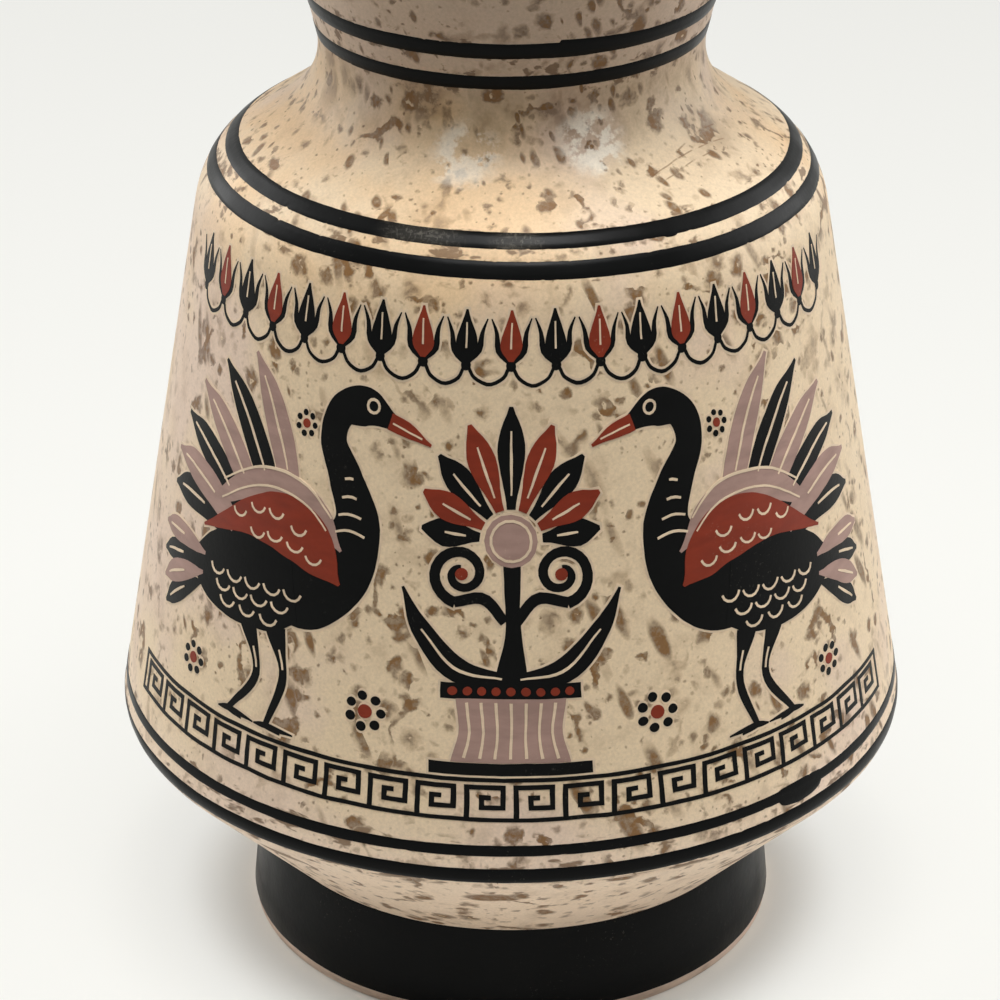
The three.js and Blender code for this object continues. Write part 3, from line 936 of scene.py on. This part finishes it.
def bird(side):
    """A long-necked water bird that faces the plant, with a raised wing."""
    def draw(layer, points, widths, step=1.3, halo=True, part=(0, 1)):
        stroke(layer, [on_bird(side, *p) for p in points], widths, step, halo, part)

    def feather(layer, root, degrees, length, droop, widths, vein):
        """A feather from its root, at an angle, that curves down by droop towards its tip."""
        line = []
        for t in (0, 0.35, 0.7, 1):
            turn = math.radians(degrees + droop * (t - 0.3))
            line.append((root[0] + length * t * math.cos(turn), root[1] + length * t * math.sin(turn)))
        draw(layer, line, widths)
        draw("lines", line, [0.3, 0.5, 0.45, 0.3], halo=False, part=vein)

    # Legs and toes.
    for hip, knee, foot_at in (((2, 19), (4.5, 10.5), (1.5, 1.4)), ((-5, 19), (-1.5, 10), (-7.5, 1.4))):
        draw("black", [hip, knee, foot_at], [4.2, 1.7, 1.6, 1.1])
        draw("lines", [hip, knee, foot_at], [0.3, 0.35, 0.3], halo=False, part=(0.2, 0.45))
        for toe in ((6.2, 0.6), (3.4, 0.1), (-2.6, 0.6)):
            draw("black", [foot_at, (foot_at[0] + toe[0], toe[1] + 0.4)], [1.2, 0.9, 0.3], 1.0)

    # Tail feathers, from the highest to the lowest.
    for k in range(4):
        root = (-19, 25.8 - 1.7 * k)
        widths = [0.6, 2.4, 3.6, 4.2, 3.4, 0.6]
        layer = "black" if k % 2 else "mauve"
        feather(layer, root, 176 + 11 * k, 17.5 - 0.6 * k, 8, widths, (0.4, 0.86))

    # Body, neck and head.
    draw("black", [(-24, 23.5), (-13, 25), (-3, 27), (5, 28.5)], [3, 11.5, 16.5, 18.4, 18.2, 15], 0.9)
    nape = [(-2, 27.6), (7, 28.8), (14.6, 33.4), (17.6, 41.5), (14.8, 48.8), (11.6, 54.8), (13.2, 60.2),
            (18.6, 61.6), (24.4, 59.6)]
    draw("black", nape, [12, 16.4, 12.8, 8.8, 6.8, 5.5, 5.8, 6.7, 2.6], 0.7)
    draw("red", [(23.4, 59.9), (27.4, 58.6), (31.8, 56.6)], [3.0, 2.5, 0.5])
    draw("lines", [(24, 59.6), (30, 57.6)], [0.3, 0.3], halo=False)
    ring("lines", *on_bird(side, 19.8, 62), 1.15, 0.45)

    # Raised wing: long feathers with a pale vein, a mauve band, and red coverts.
    for k in range(6):
        root = (4 - 3.7 * k, 38.4 - 1.1 * k)
        widths = [3.4, 5.0, 5.8, 4.6, 0.7]
        layer = "black" if k % 2 else "mauve"
        feather(layer, root, 106 + 12.2 * k, 31.2 - 0.8 * abs(k - 1) ** 1.9, 16, widths, (0.28, 0.86))
    edge = [(15, 36), (6, 43.2), (-6, 43), (-20, 35.5)]
    draw("mauve", edge, [0.5, 4.4, 5.4, 5.6, 5.2, 3.8, 0.5], 0.9)
    draw("lines", [(x, z + 2.9) for x, z in edge], [0.3, 0.5, 0.5, 0.3], halo=False, part=(0.1, 0.92))
    coverts = [(15, 30), (5.5, 37.2), (-6, 37), (-20.5, 30.8)]
    draw("red", coverts, [0.5, 7.4, 10.4, 10.8, 9, 6.2, 3.2, 0.5], 0.9)
    scallops(side, [(7.8, 38), (-3, 40.2), (-12.5, 36.6)], 4, 1.75)
    scallops(side, [(11, 33.6), (2, 36), (-7, 35.2)], 4, 1.75)
    draw("lines", [(x, z - 0.4) for x, z in edge], [0.3, 0.4, 0.3], halo=False, part=(0.12, 0.9))

    # Incised feathers of the flank and breast, and lines on the neck.
    for row in range(3):
        path = [(7 - 2.2 * row, 26.5 - 3.0 * row), (-17 + 1.6 * row, 25 - 2.3 * row)]
        scallops(side, path, 5 - row, 1.9, reach=0.6)
    for k in range(4):
        line = [(12.4 + 0.4 * k, 39 + 3.1 * k), (16.3 - 0.2 * k, 39.9 + 3.0 * k)]
        line.append((20.6 - 1.2 * k, 38.9 + 3.3 * k))
        draw("lines", line, [0.4, 0.45, 0.4], 1.0, halo=False, part=(0.12, 0.88))


def rosette(across, height, size, petals=7):
    """A red eye in a ring of black dots."""
    disc("red", across, height, 1.35 * size)
    reach = 3.1 * size
    for k in range(petals):
        turn = 2 * math.pi * k / petals
        disc("black", across + reach * math.cos(turn), height + reach * math.sin(turn), 0.95 * size)


key_border()
bud_chain()
plant()
for side in (-1, 1):
    bird(side)
    for across, height, size in ((24, 73.5, 0.9), (61.5, 70.8, 0.75), (39.4, 121, 0.6)):
        rosette(side * across, height, size)

PAINTS = {
    "underprint": (pale, "mottled_ground"),
    "black": (black, "black_paint"),
    "red": (red, "brick_red_paint"),
    "mauve": (mauve, "mauve_paint"),
    "lines": (pale, "mottled_ground"),
}
for layer, film in films.items():
    material, slot_name = PAINTS[layer]
    piece("frieze_" + layer, film.points, film.faces, material, slot_name, sharp=50)


# The room, in metres. Near the foot the floor's glow fades, so that the shadow there shows.
BACKDROP = colour(245, 245, 241)
FLOOR = colour(236, 235, 228)
FLOOR_REACH = 6.0
GLOW_FROM, GLOW_TO = 0.0475, 0.067
LEAST_GLOW, MOST_GLOW = 0.12, 0.75
ROOM_LIGHT, ROOM_STRENGTH = (1.0, 1.0, 0.99, 1.0), 0.05
BACKDROP_STRENGTH = 0.78
LAMP_TARGET = Vector((0, 0, 0.1))
FOCAL_LENGTH, SENSOR_WIDTH = 126, 36
CAMERA_PLACE = (-0.0001, -0.5814, 0.3715)
CAMERA_TURN = (63.53, 0.03, 0.18)


def seen_rays(tree):
    """1 for the rays that show a surface to the camera, straight or by way of gloss or glass."""
    path = tree.nodes.new("ShaderNodeLightPath")
    rays = path.outputs["Is Camera Ray"]
    for kind in ("Is Glossy Ray", "Is Transmission Ray"):
        either = tree.nodes.new("ShaderNodeMath")
        either.operation = "MAXIMUM"
        tree.links.new(rays, either.inputs[0])
        tree.links.new(path.outputs[kind], either.inputs[1])
        rays = either.outputs[0]
    return rays


def floor():
    """A pale floor, which the camera sees paler than the object does, less so close to the foot."""
    mesh = bpy.data.meshes.new("floor")
    corners = [(x * FLOOR_REACH, y * FLOOR_REACH, 0) for x, y in ((-1, -1), (1, -1), (1, 1), (-1, 1))]
    mesh.from_pydata(corners, [], [(0, 1, 2, 3)])
    made = bpy.data.objects.new("floor", mesh)
    bpy.context.scene.collection.objects.link(made)
    s = Surface("floor")
    s.set(Base_Color=FLOOR, Roughness=0.9, Specular_IOR_Level=0.1)
    away = s.add("VectorMath", {0: s.add("TexCoord", {}, "Object")}, "Value", operation="LENGTH")
    glow = s.add("Emission", {"Color": BACKDROP})
    share = s.math("MULTIPLY", seen_rays(s.tree), s.smooth(away, GLOW_FROM, GLOW_TO, LEAST_GLOW, MOST_GLOW))
    seen = s.add("MixShader", {0: share, 1: s.shader.outputs[0], 2: glow})
    s.tree.links.new(seen, s.tree.nodes["Material Output"].inputs[0])
    mesh.materials.append(s.material)


def lamp(name, place, size, power, spread=180):
    """A soft rectangular lamp that points at the vase."""
    data = bpy.data.lights.new(name, "AREA")
    data.spread = math.radians(spread)
    data.shape, data.size, data.size_y, data.energy = "RECTANGLE", size[0], size[1], power
    made = bpy.data.objects.new(name, data)
    made.location = place
    made.rotation_euler = (LAMP_TARGET - Vector(place)).to_track_quat("-Z", "Y").to_euler()
    bpy.context.scene.collection.objects.link(made)


def room():
    """The world: a faint light all round, and a pale backdrop that only the camera, gloss and glass see."""
    world = bpy.data.worlds.new("room")
    bpy.context.scene.world = world
    world.use_nodes = True
    nodes, links = world.node_tree.nodes, world.node_tree.links
    light = nodes["Background"]
    light.inputs["Color"].default_value = ROOM_LIGHT
    light.inputs["Strength"].default_value = ROOM_STRENGTH
    backdrop = nodes.new("ShaderNodeBackground")
    backdrop.inputs["Color"].default_value = BACKDROP
    backdrop.inputs["Strength"].default_value = BACKDROP_STRENGTH
    either = nodes.new("ShaderNodeMixShader")
    links.new(seen_rays(world.node_tree), either.inputs[0])
    links.new(light.outputs[0], either.inputs[1])
    links.new(backdrop.outputs[0], either.inputs[2])
    links.new(either.outputs[0], nodes["World Output"].inputs[0])


def camera():
    """The photograph's viewing angle."""
    lens = bpy.data.cameras.new("camera")
    lens.lens, lens.sensor_width = FOCAL_LENGTH, SENSOR_WIDTH
    viewer = bpy.data.objects.new("camera", lens)
    viewer.location = CAMERA_PLACE
    viewer.rotation_euler = [math.radians(a) for a in CAMERA_TURN]
    bpy.context.scene.collection.objects.link(viewer)
    bpy.context.scene.camera = viewer


floor()
lamp("left_softbox", (-0.9, 0.5, 0.5), size=(0.8, 0.9), power=7.3)
lamp("right_softbox", (0.95, 0.35, 0.5), size=(0.8, 0.9), power=7.0)
lamp("top_softbox", (0.04, -0.27, 1.2), size=(0.8, 0.35), power=2.05, spread=60)
room()
camera()
bpy.context.scene.view_settings.view_transform = "Standard"
